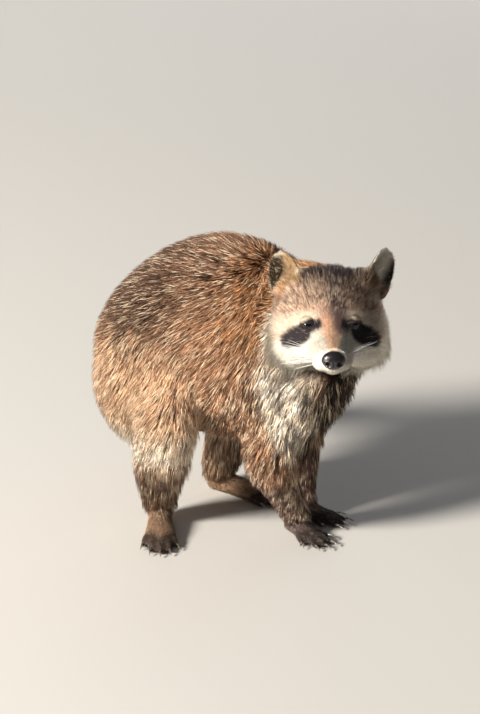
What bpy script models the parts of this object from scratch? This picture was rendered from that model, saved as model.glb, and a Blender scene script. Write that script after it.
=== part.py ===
"""A raccoon standing on four feet, back arched, head turned to its right.

Metres. The animal faces -Y, its left is +X and +Z is up. Every size is taken to the tips
of the coat. The flesh is modelled whole, from tubes, and then parted with thin cuts.
"""

import math

import bmesh
import bpy
import numpy as np
from mathutils import Matrix, Vector

# Driving dimensions
BACK_HEIGHT = 0.319        # top of the arched back
BELLY_HEIGHT = 0.100       # lowest hair of the belly
TRUNK_HALF_WIDTH = 0.084
CHEEK_HALF_WIDTH = 0.066
EYE_RADIUS = 0.0075
EAR_HEIGHT = 0.042
EAR_HALF_WIDTH = 0.0195
HIND_FOOT_LENGTH = 0.092
FORE_PAW_LENGTH = 0.062
HIND_CLAW_LENGTH = 0.011
FORE_CLAW_LENGTH = 0.012
CLAW_HALF_WIDTH = 0.0011
GAP = 0.0003               # round a firm piece in its socket
CUT = 0.0006               # between neighbours of flesh

# How the whole body is meshed before it is parted
VOXEL = 0.0018
SMOOTH_STEPS = 4
FLESH_TRIANGLES = 4800
NODE_LIGHTENING = 0.62     # share of its triangles each node keeps once it is cut out
WELD = 0.00002             # corners closer than this are one
RING_SIDES = 28
STEPS_PER_SPAN = 4
SOLE_SINK = 0.002          # how far the feet reach below the floor before it trims them

COLOURS = {
    "coat": (0.33, 0.25, 0.18, 0.85),
    "pale_fur": (0.72, 0.68, 0.60, 0.85),
    "leg_fur": (0.20, 0.15, 0.11, 0.85),
    "paw_skin": (0.12, 0.10, 0.09, 0.60),
    "tail_fur": (0.30, 0.24, 0.18, 0.85),
    "nose_skin": (0.03, 0.025, 0.03, 0.30),
    "eye": (0.02, 0.012, 0.01, 0.05),
    "claw": (0.16, 0.13, 0.11, 0.35),
}


def at(forward, left, up):
    """A place given the way the animal knows it."""
    return Vector((left, -forward, up))


def frame(place, turn=0.0, nod=0.0, tilt=0.0):
    """A local frame: turned to the left, nodded up and tilted to the left, in degrees."""
    return (
        Matrix.Translation(place)
        @ Matrix.Rotation(math.radians(turn), 4, "Z")
        @ Matrix.Rotation(math.radians(-nod), 4, "X")
        @ Matrix.Rotation(math.radians(tilt), 4, "Y")
    )


HEAD = frame(at(0.2120, -0.1050, 0.2585), turn=-58, nod=-2)


# ---------------------------------------------------------------- shapes


def clear_scene():
    for thing in list(bpy.data.objects):
        bpy.data.objects.remove(thing, do_unlink=True)


def smooth_rows(rows, steps=STEPS_PER_SPAN):
    """Rows of numbers passed through by one Catmull-Rom curve."""
    rows = np.array(rows, dtype=float)
    ends = np.vstack([2 * rows[0] - rows[1], rows, 2 * rows[-1] - rows[-2]])
    out = []
    for i in range(len(rows) - 1):
        a, b, c, d = ends[i:i + 4]
        for t in np.linspace(0, 1, steps, endpoint=False):
            out.append(0.5 * (2 * b + (c - a) * t + (2 * a - 5 * b + 4 * c - d) * t**2
                              + (3 * b - 3 * c + d - a) * t**3))
    out.append(rows[-1])
    return np.array(out)


def skin_rings(bm, rings):
    """Closed tube through rings of equal count, with flat ends."""
    loops = [[bm.verts.new(point) for point in ring] for ring in rings]
    for first, second in zip(loops, loops[1:]):
        count = len(first)
        for i in range(count):
            j = (i + 1) % count
            bm.faces.new((first[i], first[j], second[j], second[i]))
    bm.faces.new(loops[0][::-1])
    bm.faces.new(loops[-1])


def add_barrel(bm, rows, matrix=None):
    """Upright rings along the forward axis: forward, left, top, bottom, half width."""
    matrix = matrix or Matrix.Identity(4)
    rings = []
    for forward, left, top, bottom, half_width in smooth_rows(rows):
        middle = (top + bottom) / 2
        half_height = max((top - bottom) / 2, 0.0005)
        half_width = max(half_width, 0.0005)
        ring = []
        for k in range(RING_SIDES):
            angle = math.tau * k / RING_SIDES
            place = at(
                forward,
                left + half_width * math.cos(angle),
                middle + half_height * math.sin(angle),
            )
            ring.append(matrix @ place)
        rings.append(ring)
    skin_rings(bm, rings)


def add_limb(bm, rows, matrix=None, reference=Vector((1, 0, 0)), sides=20, steps=STEPS_PER_SPAN):
    """Rings square to their path: forward, left, up, half width across, half width along."""
    matrix = matrix or Matrix.Identity(4)
    rows = smooth_rows(rows, steps)
    path = [at(*row[:3]) for row in rows]
    rings = []
    for i, row in enumerate(rows):
        tangent = (path[min(i + 1, len(path) - 1)] - path[max(i - 1, 0)]).normalized()
        across = (reference - tangent * reference.dot(tangent)).normalized()
        along = tangent.cross(across)
        ring = []
        for k in range(sides):
            angle = math.tau * k / sides
            offset = across * max(row[3], 0.0004) * math.cos(angle)
            offset += along * max(row[4], 0.0004) * math.sin(angle)
            ring.append(matrix @ (path[i] + offset))
        rings.append(ring)
    skin_rings(bm, rings)


def add_ball(bm, center, radii, matrix=None, segments=24, rings=14):
    """An ellipsoid with half sizes given as forward, left and up."""
    matrix = matrix or Matrix.Identity(4)
    forward, left, up = radii
    shape = Matrix.Diagonal((left, forward, up, 1.0))
    bmesh.ops.create_uvsphere(
        bm, u_segments=segments, v_segments=rings, radius=1.0,
        matrix=matrix @ Matrix.Translation(center) @ shape,
    )


def make_object(bm, name):
    bmesh.ops.recalc_face_normals(bm, faces=bm.faces)
    mesh = bpy.data.meshes.new(name)
    bm.to_mesh(mesh)
    bm.free()
    thing = bpy.data.objects.new(name, mesh)
    bpy.context.collection.objects.link(thing)
    return thing


def settle(thing):
    """Replaces an object's mesh with what its modifiers make of it."""
    graph = bpy.context.evaluated_depsgraph_get()
    graph.update()
    mesh = bpy.data.meshes.new_from_object(thing.evaluated_get(graph))
    thing.modifiers.clear()
    thing.data = mesh


def boolean(thing, other, operation):
    """One exact Boolean, applied, with slivers welded and slits closed."""
    modifier = thing.modifiers.new(operation.lower(), "BOOLEAN")
    modifier.object = other
    modifier.operation = operation
    modifier.solver = "EXACT"
    modifier.use_self = True
    settle(thing)
    bm = bmesh.new()
    bm.from_mesh(thing.data)
    bmesh.ops.remove_doubles(bm, verts=bm.verts, dist=WELD)
    bmesh.ops.dissolve_degenerate(bm, edges=bm.edges, dist=WELD)
    slits = [edge for edge in bm.edges if edge.is_boundary]
    if slits:
        bmesh.ops.holes_fill(bm, edges=slits, sides=8)
    bm.to_mesh(thing.data)
    bm.free()


def discard(thing):
    bpy.data.objects.remove(thing, do_unlink=True)


# ---------------------------------------------------------------- the trunk


def add_trunk(bm):
    """Rump, arched back, belly and chest; the forequarters sit a little to the left."""
    top = BACK_HEIGHT
    low = BELLY_HEIGHT
    wide = TRUNK_HALF_WIDTH
    rows = [
        (-0.116, 0.002, top - 0.112, low + 0.080, wide * 0.10),
        (-0.110, 0.002, top - 0.092, low + 0.052, wide * 0.46),
        (-0.091, 0.003, top - 0.063, low + 0.024, wide * 0.80),
        (-0.060, 0.006, top - 0.032, low + 0.006, wide * 0.96),
        (-0.020, 0.010, top - 0.009, low, wide),
        (0.020, 0.015, top, low, wide),
        (0.060, 0.020, top - 0.007, low + 0.002, wide * 0.97),
        (0.098, 0.021, top - 0.026, low + 0.010, wide * 0.84),
        (0.122, 0.020, top - 0.048, low + 0.028, wide * 0.64),
        (0.136, 0.018, top - 0.070, low + 0.052, wide * 0.40),
        (0.143, 0.016, top - 0.100, low + 0.080, wide * 0.10),
    ]
    add_barrel(bm, rows)


def add_neck(bm):
    """A short thick neck that turns from the chest to the back of the head."""
    rows = [
        (0.070, 0.030, 0.225, 0.050, 0.050),
        (0.100, 0.028, 0.232, 0.064, 0.066),
        (0.130, 0.016, 0.242, 0.062, 0.064),
        (0.152, -0.008, 0.256, 0.054, 0.058),
        (0.166, -0.030, 0.264, 0.044, 0.046),
    ]
    add_limb(bm, rows, reference=Vector((0.6, 0.8, 0.0)), sides=RING_SIDES)


def add_chest_ruff(bm):
    """Long hair that hangs from throat and breast."""
    rows = [
        (0.154, -0.014, 0.226, 0.040, 0.036),
        (0.136, 0.000, 0.182, 0.042, 0.036),
        (0.114, 0.013, 0.142, 0.038, 0.028),
        (0.102, 0.018, 0.112, 0.030, 0.025),
        (0.096, 0.019, 0.098, 0.014, 0.014),
    ]
    add_limb(bm, rows)


# ---------------------------------------------------------------- the tail


TAIL_PATH = [
    (-0.075, 0.012, 0.205, 0.022, 0.022),
    (-0.108, 0.028, 0.186, 0.024, 0.024),
    (-0.122, 0.066, 0.150, 0.028, 0.028),
    (-0.117, 0.108, 0.112, 0.030, 0.030),
    (-0.100, 0.146, 0.082, 0.029, 0.029),
    (-0.078, 0.180, 0.060, 0.024, 0.024),
    (-0.064, 0.199, 0.049, 0.014, 0.014),
    (-0.059, 0.205, 0.046, 0.003, 0.003),
]


TAIL_CUTS = (1.6, 2.5, 3.4, 4.4)


def add_tail(bm):
    add_limb(bm, TAIL_PATH)


# ---------------------------------------------------------------- the legs


HIND_FEET = {
    "right": frame(at(-0.014, -0.066, 0.0), turn=-58),
    "left": frame(at(0.014, 0.066, 0.0), turn=-2),
}
FORE_PAWS = {
    "right": frame(at(0.122, 0.008, 0.0), turn=-24),
    "left": frame(at(0.110, 0.053, 0.0), turn=-2),
}
HIND_KNEES = {"right": (-0.004, -0.066, 0.128), "left": (0.022, 0.074, 0.128)}
FORE_ELBOWS = {"right": (0.098, -0.029, 0.102), "left": (0.084, 0.068, 0.108)}
SIDE_SIGN = {"right": -1, "left": 1}
TRUNK_MIDDLE = {"hind": 0.004, "fore": 0.026}


def local_place(matrix, forward, left, up):
    """A place of a local frame as forward, left and up of the animal."""
    place = matrix @ at(forward, left, up)
    return (-place.y, place.x, place.z)


def add_hind_leg(bm, side):
    sign = SIDE_SIGN[side]
    foot = HIND_FEET[side]
    knee = HIND_KNEES[side]
    hip_left = TRUNK_MIDDLE["hind"] + sign * 0.044
    add_ball(bm, at(-0.050, hip_left, 0.166), (0.056, 0.041, 0.078))
    ankle = local_place(foot, -0.034, 0.0, 0.028)
    shank = local_place(foot, -0.022, 0.0, 0.070)
    rows = [
        (-0.044, hip_left, 0.190, 0.036, 0.046),
        (-0.026, hip_left + sign * 0.006, 0.160, 0.036, 0.045),
        (*knee, 0.031, 0.036),
        (*shank, 0.0235, 0.027),
        (*ankle, 0.0145, 0.0175),
        (*local_place(foot, -0.034, 0.0, 0.008), 0.0125, 0.0150),
    ]
    add_limb(bm, rows)


def add_fore_leg(bm, side):
    sign = SIDE_SIGN[side]
    paw = FORE_PAWS[side]
    elbow = FORE_ELBOWS[side]
    wrist = local_place(paw, -0.018, 0.0, 0.024)
    middle = tuple((np.array(elbow) + np.array(wrist)) / 2)
    shoulder_left = TRUNK_MIDDLE["fore"] + sign * 0.043
    add_ball(bm, at(0.094, shoulder_left, 0.186), (0.044, 0.031, 0.074))
    rows = [
        (0.112, shoulder_left, 0.190, 0.027, 0.036),
        (0.100, shoulder_left, 0.150, 0.026, 0.035),
        (*elbow, 0.0220, 0.0255),
        (*middle, 0.0170, 0.0195),
        (*wrist, 0.0130, 0.0145),
        (*local_place(paw, -0.015, 0.0, 0.008), 0.0115, 0.0130),
    ]
    add_limb(bm, rows)


# Toes: where each leaves the foot, its reach, its turn outward and its half width.
# They run from the inner toe (0) to the outer toe (4), for a left foot.
HIND_TOES = [
    (0.012, -0.0125, 0.020, -16, 0.0042),
    (0.020, -0.0070, 0.024, -7, 0.0045),
    (0.022, 0.0000, 0.025, 0, 0.0046),
    (0.019, 0.0072, 0.024, 7, 0.0045),
    (0.009, 0.0130, 0.021, 15, 0.0042),
]
FORE_TOES = [
    (0.000, -0.0105, 0.018, -22, 0.0037),
    (0.009, -0.0065, 0.022, -9, 0.0040),
    (0.011, 0.0000, 0.023, 0, 0.0041),
    (0.008, 0.0065, 0.022, 9, 0.0040),
    (-0.002, 0.0105, 0.019, 22, 0.0037),
]


def add_sole(bm, matrix, length, half_width, heel_height, ball_height, toe_start):
    """The foot without its toes, reaching a little below the floor."""
    back = -length / 2
    low = -SOLE_SINK
    rows = [
        (back, 0.0, heel_height * 0.55, low + 0.003, half_width * 0.20),
        (back + length * 0.05, 0.0, heel_height * 0.85, low, half_width * 0.60),
        (back + length * 0.18, 0.0, heel_height, low, half_width * 0.74),
        (back + length * 0.45, 0.0, (heel_height + ball_height) / 2, low, half_width * 0.86),
        (toe_start, 0.0, ball_height, low, half_width),
        (toe_start + length * 0.12, 0.0, ball_height * 0.8, low + 0.001, half_width * 0.72),
    ]
    add_barrel(bm, rows, matrix)


def toe_points(toe, sign):
    """Root, knuckle and tip of a toe in its foot's frame."""
    forward, left, reach, turn, half_width = toe
    heading = math.radians(turn * sign)
    step = Vector((math.cos(heading), math.sin(heading)))
    root = (forward, left * sign, half_width * 1.25)
    knuckle = (forward + step.x * reach * 0.5, left * sign + step.y * reach * 0.5,
               half_width * 1.30)
    tip = (forward + step.x * reach, left * sign + step.y * reach, half_width * 0.72)
    return root, knuckle, tip, step


def add_toe(bm, matrix, toe, sign):
    half_width = toe[4]
    root, knuckle, tip, step = toe_points(toe, sign)
    end = (tip[0] + step.x * half_width * 0.8, tip[1] + step.y * half_width * 0.8, tip[2])
    rows = [
        (*root, half_width, half_width),
        (*knuckle, half_width, half_width * 1.1),
        (*tip, half_width * 0.92, half_width * 0.9),
        (*end, half_width * 0.62, half_width * 0.62),
    ]
    add_limb(bm, rows, matrix, sides=12)


def add_claw(bm, matrix, toe, sign, length, grow=0.0):
    """A curved horn that leaves the toe's tip and ends just above the floor."""
    half_width = toe[4]
    tip, step = toe_points(toe, sign)[2:]
    thick = CLAW_HALF_WIDTH + grow
    start = -half_width * 0.1 - grow
    rows = []
    for share, height, size in ((0.0, 0.0042, 1.0), (0.45, 0.0044, 0.85), (1.0, 0.0022, 0.30)):
        reach = start + length * share + (grow if share == 1.0 else 0.0)
        rows.append((tip[0] + step.x * reach, tip[1] + step.y * reach, height,
                     thick * size, thick * size * 1.25))
    add_limb(bm, rows, matrix, sides=6, steps=1)


def make_claws(grow=0.0):
    """Every claw, beside the name of the foot it sits in."""
    claws = []
    for side, sign in SIDE_SIGN.items():
        for foot, frames, toes, length in (
            ("hind_foot", HIND_FEET, HIND_TOES, HIND_CLAW_LENGTH),
            ("fore_paw", FORE_PAWS, FORE_TOES, FORE_CLAW_LENGTH),
        ):
            for number, toe in enumerate(toes, start=1):
                bm = bmesh.new()
                add_claw(bm, frames[side], toe, sign, length, grow)
                name = f"claw_{foot[:4]}_{side}_{number}"
                claws.append((make_object(bm, name), f"{foot}_{side}"))
    return claws


def add_feet(bm):
    for side, sign in SIDE_SIGN.items():
        add_sole(bm, HIND_FEET[side], HIND_FOOT_LENGTH, 0.0170, 0.022, 0.0145, 0.014)
        add_sole(bm, FORE_PAWS[side], FORE_PAW_LENGTH, 0.0150, 0.019, 0.0130, 0.004)
        for toe in HIND_TOES:
            add_toe(bm, HIND_FEET[side], toe, sign)
        for toe in FORE_TOES:
            add_toe(bm, FORE_PAWS[side], toe, sign)


# ---------------------------------------------------------------- the head


def add_skull(bm):
    """Muzzle, face and cranium; the nose pad's middle is the head's origin."""
    rows = [
        (0.001, 0.0, 0.0090, -0.0110, 0.0095),
        (-0.006, 0.0, 0.0118, -0.0145, 0.0148),
        (-0.016, 0.0, 0.0145, -0.0180, 0.0196),
        (-0.027, 0.0, 0.0185, -0.0210, 0.0225),
        (-0.036, 0.0, 0.0255, -0.0248, 0.0270),
        (-0.044, 0.0, 0.0345, -0.0262, 0.0345),
        (-0.053, 0.0, 0.0435, -0.0282, 0.0465),
        (-0.064, 0.0, 0.0515, -0.0308, 0.0550),
        (-0.077, 0.0, 0.0570, -0.0330, 0.0585),
        (-0.091, 0.0, 0.0610, -0.0345, 0.0585),
        (-0.107, 0.0, 0.0600, -0.0340, 0.0530),
        (-0.123, 0.0, 0.0520, -0.0320, 0.0400),
        (-0.135, 0.0, 0.0290, -0.0150, 0.0150),
    ]
    add_barrel(bm, rows, HEAD)


def add_cheeks(bm):
    """Ruffs that make the face widest level with the mouth."""
    for sign in SIDE_SIGN.values():
        reach = 0.034
        place = at(-0.076, sign * (CHEEK_HALF_WIDTH - reach), -0.004)
        add_ball(bm, place, (0.038, reach, 0.036), HEAD)


def add_ear_roots(bm):
    """Fur that fills the corners between crown and ears."""
    for sign in SIDE_SIGN.values():
        add_ball(bm, at(-0.092, sign * 0.034, 0.038), (0.020, 0.020, 0.022), HEAD)


def add_whisker_pads(bm):
    """Full lips beside the nose."""
    for sign in SIDE_SIGN.values():
        add_ball(bm, at(-0.020, sign * 0.0095, -0.0060), (0.0180, 0.0115, 0.0110), HEAD)


def add_chin(bm):
    add_ball(bm, at(-0.018, 0.0, -0.0134), (0.0150, 0.0095, 0.0066), HEAD)


EAR_FRAMES = {
    "right": HEAD @ frame(at(-0.090, -0.0400, 0.0345), turn=-28, nod=4, tilt=-22),
    "left": HEAD @ frame(at(-0.090, 0.0500, 0.0400), turn=42, nod=4, tilt=42),
}


def add_ear(bm, matrix):
    """A rounded cup that opens forward, 4 mm thick, with its root inside the head."""
    columns = 10
    levels = 12
    thick = 0.0042
    root = -0.016
    fronts, backs = [], []
    for j in range(levels + 1):
        rise = j / levels
        height = root + (EAR_HEIGHT - root) * rise
        share = math.sqrt(max(1 - max((rise - 0.45) / 0.56, 0.0) ** 2, 0.0))
        half_width = EAR_HALF_WIDTH * max(share, 0.10)
        front, back = [], []
        for i in range(columns + 1):
            across = -1 + 2 * i / columns
            hollow = 0.012 * (1 - across**2) * (1 - 0.55 * rise)
            lean = -0.006 * rise**2
            front.append(bm.verts.new(matrix @ at(lean - hollow, across * half_width, height)))
            back.append(
                bm.verts.new(matrix @ at(lean - hollow - thick, across * half_width, height))
            )
        fronts.append(front)
        backs.append(back)
    for j in range(levels):
        for i in range(columns):
            bm.faces.new((fronts[j][i], fronts[j][i + 1], fronts[j + 1][i + 1], fronts[j + 1][i]))
            bm.faces.new((backs[j][i], backs[j + 1][i], backs[j + 1][i + 1], backs[j][i + 1]))
        for i, order in ((0, 1), (columns, -1)):
            corners = (fronts[j][i], fronts[j + 1][i], backs[j + 1][i], backs[j][i])
            bm.faces.new(corners[::order])
    for j, order in ((0, -1), (levels, 1)):
        for i in range(columns):
            corners = (fronts[j][i], fronts[j][i + 1], backs[j][i + 1], backs[j][i])
            bm.faces.new(corners[::order])


EYE_PLACES = {
    side: HEAD @ at(-0.0456, sign * 0.0222, 0.0203) for side, sign in SIDE_SIGN.items()
}


def make_eye(side, grow=0.0):
    bm = bmesh.new()
    size = EYE_RADIUS + grow
    bmesh.ops.create_icosphere(
        bm, subdivisions=2, radius=size, matrix=Matrix.Translation(EYE_PLACES[side])
    )
    return make_object(bm, f"eye_{side}")


def make_nose(grow=0.0):
    """The bare pad, wider above than below, without its nostrils."""
    rows = [
        (-0.0070, 0.0, 0.0080, -0.0050, 0.0088),
        (-0.0030, 0.0, 0.0100, -0.0072, 0.0112),
        (0.0012, 0.0, 0.0100, -0.0075, 0.0112),
        (0.0042, 0.0, 0.0074, -0.0058, 0.0088),
        (0.0052, 0.0, 0.0036, -0.0030, 0.0045),
    ]
    grown = []
    last = len(rows) - 1
    for i, (forward, left, top, bottom, half_width) in enumerate(rows):
        shift = {0: -grow, last: grow}.get(i, 0.0)
        grown.append((forward + shift, left, top + grow, bottom - grow, half_width + grow))
    bm = bmesh.new()
    rings = []
    sides = 14
    for forward, left, top, bottom, half_width in grown:
        middle = (top + bottom) / 2
        half_height = (top - bottom) / 2
        ring = []
        for k in range(sides):
            angle = math.tau * k / sides
            place = at(forward, half_width * math.cos(angle), middle + half_height * math.sin(angle))
            ring.append(HEAD @ place)
        rings.append(ring)
    skin_rings(bm, rings)
    return make_object(bm, "nose")


# ---------------------------------------------------------------- the whole body


def make_flesh():
    """Everything but nose, eyes and claws as one closed skin, with flat soles."""
    bm = bmesh.new()
    add_trunk(bm)
    add_neck(bm)
    add_chest_ruff(bm)
    add_tail(bm)
    for side in SIDE_SIGN:
        add_hind_leg(bm, side)
        add_fore_leg(bm, side)
        add_ear(bm, EAR_FRAMES[side])
    add_feet(bm)
    add_skull(bm)
    add_cheeks(bm)
    add_ear_roots(bm)
    add_whisker_pads(bm)
    add_chin(bm)
    flesh = make_object(bm, "flesh")
    remesh = flesh.modifiers.new("whole", "REMESH")
    remesh.mode = "VOXEL"
    remesh.voxel_size = VOXEL
    smooth = flesh.modifiers.new("even", "SMOOTH")
    smooth.factor = 0.5
    smooth.iterations = SMOOTH_STEPS
    settle(flesh)
    faces = sum(len(p.vertices) - 2 for p in flesh.data.polygons)
    decimate = flesh.modifiers.new("lighter", "DECIMATE")
    decimate.ratio = FLESH_TRIANGLES / faces
    settle(flesh)
    floor = make_box("floor", at(0.0, 0.0, -0.5), (1.0, 1.0, 0.5))
    boolean(flesh, floor, "DIFFERENCE")
    discard(floor)
    return flesh


def make_box(name, center, half_sizes, matrix=None):
    """A block with half sizes given as forward, left and up."""
    matrix = matrix or Matrix.Identity(4)
    forward, left, up = half_sizes
    bm = bmesh.new()
    shape = Matrix.Diagonal((left * 2, forward * 2, up * 2, 1.0))
    bmesh.ops.create_cube(bm, size=1.0, matrix=matrix @ Matrix.Translation(center) @ shape)
    return make_object(bm, name)


# ---------------------------------------------------------------- parting into nodes


def block(grow, matrix, center, sizes):
    return make_box("block", center, [size + grow for size in sizes], matrix)


def ball(grow, matrix, center, sizes):
    bm = bmesh.new()
    add_ball(bm, center, [size + grow for size in sizes], matrix, segments=14, rings=8)
    return make_object(bm, "ball")


def tube(grow, matrix, start, end):
    """A straight tapering tube; each end is forward, left, up and radius."""
    first, last = np.array(start, dtype=float), np.array(end, dtype=float)
    along = (last - first)[:3]
    along *= grow / np.linalg.norm(along)
    first[:3] -= along
    last[:3] += along
    rows = [(*row[:3], row[3] + grow, row[3] + grow) for row in (first, last)]
    bm = bmesh.new()
    add_limb(bm, rows, matrix, sides=12, steps=1)
    return make_object(bm, "tube")


def drop_crumbs(thing):
    """Keeps the largest connected body of a mesh; a cut can leave specks beside it."""
    bm = bmesh.new()
    bm.from_mesh(thing.data)
    unseen = set(bm.verts)
    bodies = []
    while unseen:
        edge_of_body = [unseen.pop()]
        body = set(edge_of_body)
        while edge_of_body:
            vertex = edge_of_body.pop()
            for edge in vertex.link_edges:
                neighbour = edge.other_vert(vertex)
                if neighbour not in body:
                    body.add(neighbour)
                    edge_of_body.append(neighbour)
        unseen -= body
        bodies.append(body)
    bodies.sort(key=len)
    crumbs = [vertex for body in bodies[:-1] for vertex in body]
    bmesh.ops.delete(bm, geom=crumbs, context="VERTS")
    bm.to_mesh(thing.data)
    bm.free()


def carve(flesh, name, region, matrix, first, second):
    """Cuts a region out of the flesh as its own node, with a gap left round it."""
    cutter = region(0.0, matrix, first, second)
    node = flesh.copy()
    node.data = flesh.data.copy()
    node.name = name
    bpy.context.collection.objects.link(node)
    boolean(node, cutter, "INTERSECT")
    discard(cutter)
    wider = region(CUT, matrix, first, second)
    boolean(flesh, wider, "DIFFERENCE")
    discard(wider)
    return node


def tail_cut(position):
    """A frame on the tail's middle line that looks along it; the position counts stations."""
    i = int(position)
    before, after = at(*TAIL_PATH[i][:3]), at(*TAIL_PATH[i + 1][:3])
    step = after - before
    heading = math.degrees(math.atan2(step.x, -step.y))
    drop = math.degrees(math.atan2(step.z, math.hypot(step.x, step.y)))
    return frame(before + step * (position - i), turn=heading, nod=drop)


def regions():
    """What each node takes from the flesh, in the order of the cuts."""
    world = Matrix.Identity(4)
    sides = SIDE_SIGN.items()
    for side, sign in sides:
        yield f"ear_{side}", block, EAR_FRAMES[side], at(-0.006, 0.0, 0.044), (0.017, 0.023, 0.038)
        foot, paw = HIND_FEET[side], FORE_PAWS[side]
        yield f"hind_foot_{side}", block, foot, at(0.006, 0.0, 0.0), (0.060, 0.028, 0.034)
        yield f"fore_paw_{side}", block, paw, at(0.000, 0.0, 0.0), (0.048, 0.0208, 0.0245)
    for side, sign in sides:
        foot = HIND_FEET[side]
        yield f"shank_{side}", block, foot, at(-0.020, 0.0, 0.062), (0.055, 0.045, 0.030)
        hip = TRUNK_MIDDLE["hind"] + sign * 0.072
        yield f"thigh_{side}", ball, world, at(-0.032, hip, 0.140), (0.076, 0.056, 0.094)
    for side, sign in sides:
        wrist = local_place(FORE_PAWS[side], -0.020, 0.0, -0.015)
        top = tuple(wrist + 0.9 * (np.array(FORE_ELBOWS[side]) - wrist))
        yield f"forearm_{side}", tube, world, (*wrist, 0.024), (*top, 0.035)
        shoulder = TRUNK_MIDDLE["fore"] + sign * 0.064
        yield f"upper_arm_{side}", ball, world, at(0.096, shoulder, 0.148), (0.058, 0.042, 0.074)
    yield "lower_jaw", block, HEAD, at(-0.026, 0.0, -0.030), (0.032, 0.026, 0.0165)
    yield "muzzle", block, HEAD, at(0.000, 0.0, 0.0), (0.036, 0.050, 0.050)
    yield "head", block, HEAD, at(-0.046, 0.0, 0.035), (0.062, 0.090, 0.075)
    throat = frame(at(0.140, 0.004, 0.245), turn=-35, nod=10)
    yield "neck", block, throat, at(0.060, 0.0, 0.020), (0.062, 0.110, 0.110)
    for number in range(len(TAIL_CUTS), 0, -1):
        cut = tail_cut(TAIL_CUTS[number - 1])
        yield f"tail_{number}", block, cut, at(0.045, 0.0, 0.0), (0.045, 0.040, 0.045)
    yield "rump", block, world, at(-0.130, 0.0, 0.2), (0.075, 0.2, 0.19)
    yield "chest", block, world, at(0.150, 0.0, 0.2), (0.108, 0.2, 0.19)


def is_closed(mesh):
    """True where every edge joins exactly two faces."""
    bm = bmesh.new()
    bm.from_mesh(mesh)
    closed = all(len(edge.link_faces) == 2 for edge in bm.edges)
    bm.free()
    return closed


def lighten(node):
    """Thins the triangles along the cuts, less where the mesh would not stay closed."""
    heavy = node.data
    ratio = NODE_LIGHTENING
    while ratio < 1.0:
        decimate = node.modifiers.new("lighter", "DECIMATE")
        decimate.ratio = ratio
        settle(node)
        if is_closed(node.data):
            return
        node.data = heavy
        ratio += 0.05


def part_flesh(flesh):
    nodes = [carve(flesh, *region) for region in regions()]
    flesh.name = "belly"
    nodes.append(flesh)
    for node in nodes:
        drop_crumbs(node)
        lighten(node)
        drop_crumbs(node)
    return nodes


# ---------------------------------------------------------------- finish


def make_material(name):
    red, green, blue, roughness = COLOURS[name]
    material = bpy.data.materials.new(name)
    material.use_nodes = True
    shader = material.node_tree.nodes["Principled BSDF"]
    shader.inputs["Base Color"].default_value = (red, green, blue, 1.0)
    shader.inputs["Roughness"].default_value = roughness
    shader.inputs["Metallic"].default_value = 0.0
    return material


MATERIAL_OF = (
    ("claw", "claw"), ("eye", "eye"), ("nose", "nose_skin"), ("tail", "tail_fur"),
    ("ear", "pale_fur"), ("muzzle", "pale_fur"), ("lower_jaw", "pale_fur"),
    ("hind_foot", "paw_skin"), ("fore_paw", "paw_skin"), ("shank", "leg_fur"),
    ("forearm", "leg_fur"),
)


def give_materials(nodes):
    materials = {name: make_material(name) for name in COLOURS}
    for node in nodes:
        slot = next((slot for start, slot in MATERIAL_OF if node.name.startswith(start)), "coat")
        node.data.materials.clear()
        node.data.materials.append(materials[slot])


def center_on_floor(nodes):
    """Puts the middle of the whole box over the origin, soles at zero."""
    corners = np.array([vertex.co for node in nodes for vertex in node.data.vertices])
    middle = (corners.min(axis=0) + corners.max(axis=0)) / 2
    shift = Matrix.Translation((-middle[0], -middle[1], 0.0))
    for node in nodes:
        node.data.transform(shift)


def make_firm_pieces(grow=0.0):
    """Nose, eyes and claws, each beside the node that holds it; grown, they are sockets."""
    eyes = [(make_eye(side, grow), "head") for side in SIDE_SIGN]
    return [(make_nose(grow), "muzzle"), *eyes, *make_claws(grow)]


def main():
    clear_scene()
    flesh = part_flesh(make_flesh())
    holders = {node.name: node for node in flesh}
    for socket, holder in make_firm_pieces(grow=GAP):
        boolean(holders[holder], socket, "DIFFERENCE")
        discard(socket)
    nodes = flesh + [piece for piece, _ in make_firm_pieces()]
    give_materials(nodes)
    center_on_floor(nodes)


main()
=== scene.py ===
"""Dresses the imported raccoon: one skin, a coat of tufts, face, nose, eyes and whiskers.

Metres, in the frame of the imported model: the animal faces -Y, its left is +X, +Z is up.
The face is measured in millimetres from the nose pad: forward, left and up.
"""
import itertools
import math

import bmesh
import bpy
import numpy as np
from mathutils import Matrix, Vector
from mathutils.bvhtree import BVHTree
from mathutils.kdtree import KDTree


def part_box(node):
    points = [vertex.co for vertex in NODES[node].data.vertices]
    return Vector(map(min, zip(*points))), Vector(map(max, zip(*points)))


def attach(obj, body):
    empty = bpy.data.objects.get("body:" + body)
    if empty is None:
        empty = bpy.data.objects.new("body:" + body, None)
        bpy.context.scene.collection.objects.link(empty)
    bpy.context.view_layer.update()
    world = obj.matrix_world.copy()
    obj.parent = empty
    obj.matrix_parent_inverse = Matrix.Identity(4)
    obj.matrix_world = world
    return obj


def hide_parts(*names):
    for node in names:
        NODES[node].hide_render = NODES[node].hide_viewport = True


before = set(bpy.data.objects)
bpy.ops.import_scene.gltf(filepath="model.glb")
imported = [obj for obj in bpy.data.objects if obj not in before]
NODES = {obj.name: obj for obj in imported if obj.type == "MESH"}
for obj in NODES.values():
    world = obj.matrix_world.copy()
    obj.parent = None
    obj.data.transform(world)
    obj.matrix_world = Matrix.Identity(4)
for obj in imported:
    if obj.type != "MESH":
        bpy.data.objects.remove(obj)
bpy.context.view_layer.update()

FLESH = [name for name in NODES if not name.startswith(("eye", "claw", "nose"))]
SIDES = {"right": -1, "left": 1}
RANDOM = np.random.default_rng(7)

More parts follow.
